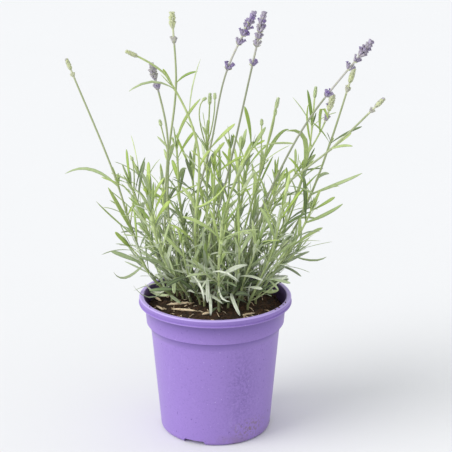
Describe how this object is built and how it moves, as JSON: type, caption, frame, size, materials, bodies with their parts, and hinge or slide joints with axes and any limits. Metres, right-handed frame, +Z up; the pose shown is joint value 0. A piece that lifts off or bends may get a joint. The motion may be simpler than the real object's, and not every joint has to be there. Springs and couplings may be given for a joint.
{
  "type": "potted lavender",
  "caption": "Young lavender plant with violet flower spikes, growing in a round lilac plastic nursery pot.",
  "frame": {"origin": "centre of the pot's foot, on the surface that the pot stands on", "axes": "+Z up, -Y towards the front, +X to the right seen from the front"},
  "size_m": [0.2622, 0.1901, 0.3604],
  "materials": {
    "pot_plastic": "satin",
    "soil": "matte",
    "wood_chip": "matte",
    "leaf": "matte",
    "stalk": "matte",
    "flower": "matte",
    "bud": "matte"
  },
  "bodies": {
    "root": {"nursery_pot": "pot_plastic", "potting_soil": "soil", "wood_chip_01": "wood_chip", "wood_chip_02": "wood_chip", "wood_chip_03": "wood_chip", "wood_chip_04": "wood_chip", "wood_chip_05": "wood_chip", "wood_chip_06": "wood_chip", "leafy_shoot_01": "leaf", "leafy_shoot_02": "leaf", "leafy_shoot_03": "leaf", "leafy_shoot_04": "leaf", "leafy_shoot_05": "leaf", "leafy_shoot_06": "leaf", "leafy_shoot_07": "leaf", "leafy_shoot_08": "leaf", "leafy_shoot_09": "leaf", "leafy_shoot_10": "leaf", "leafy_shoot_11": "leaf", "leafy_shoot_12": "leaf", "leafy_shoot_13": "leaf", "leafy_shoot_14": "leaf", "leafy_shoot_15": "leaf", "leafy_shoot_16": "leaf", "leafy_shoot_17": "leaf", "leafy_shoot_18": "leaf", "leafy_shoot_19": "leaf", "leafy_shoot_20": "leaf", "leafy_shoot_21": "leaf", "leafy_shoot_22": "leaf", "leafy_shoot_23": "leaf", "leafy_shoot_24": "leaf", "leafy_shoot_25": "leaf", "leafy_shoot_26": "leaf", "leafy_shoot_27": "leaf", "leafy_shoot_28": "leaf", "flower_stalk_01": "stalk", "flower_stalk_02": "stalk", "flower_stalk_03": "stalk", "flower_stalk_04": "stalk", "flower_stalk_05": "stalk", "flower_stalk_06": "stalk", "flower_stalk_07": "stalk", "flower_stalk_08": "stalk", "flower_stalk_09": "stalk", "flower_stalk_10": "stalk", "bud_stalk_01": "stalk", "bud_stalk_02": "stalk", "bud_stalk_03": "stalk", "flower_spike_01": "flower", "flower_spike_02": "flower", "flower_spike_03": "flower", "flower_spike_04": "flower", "flower_spike_05": "bud", "flower_bud_06": "bud", "flower_bud_07": "bud", "flower_bud_08": "bud", "flower_bud_09": "bud", "flower_spike_10": "bud"}
  },
  "joints": []
}
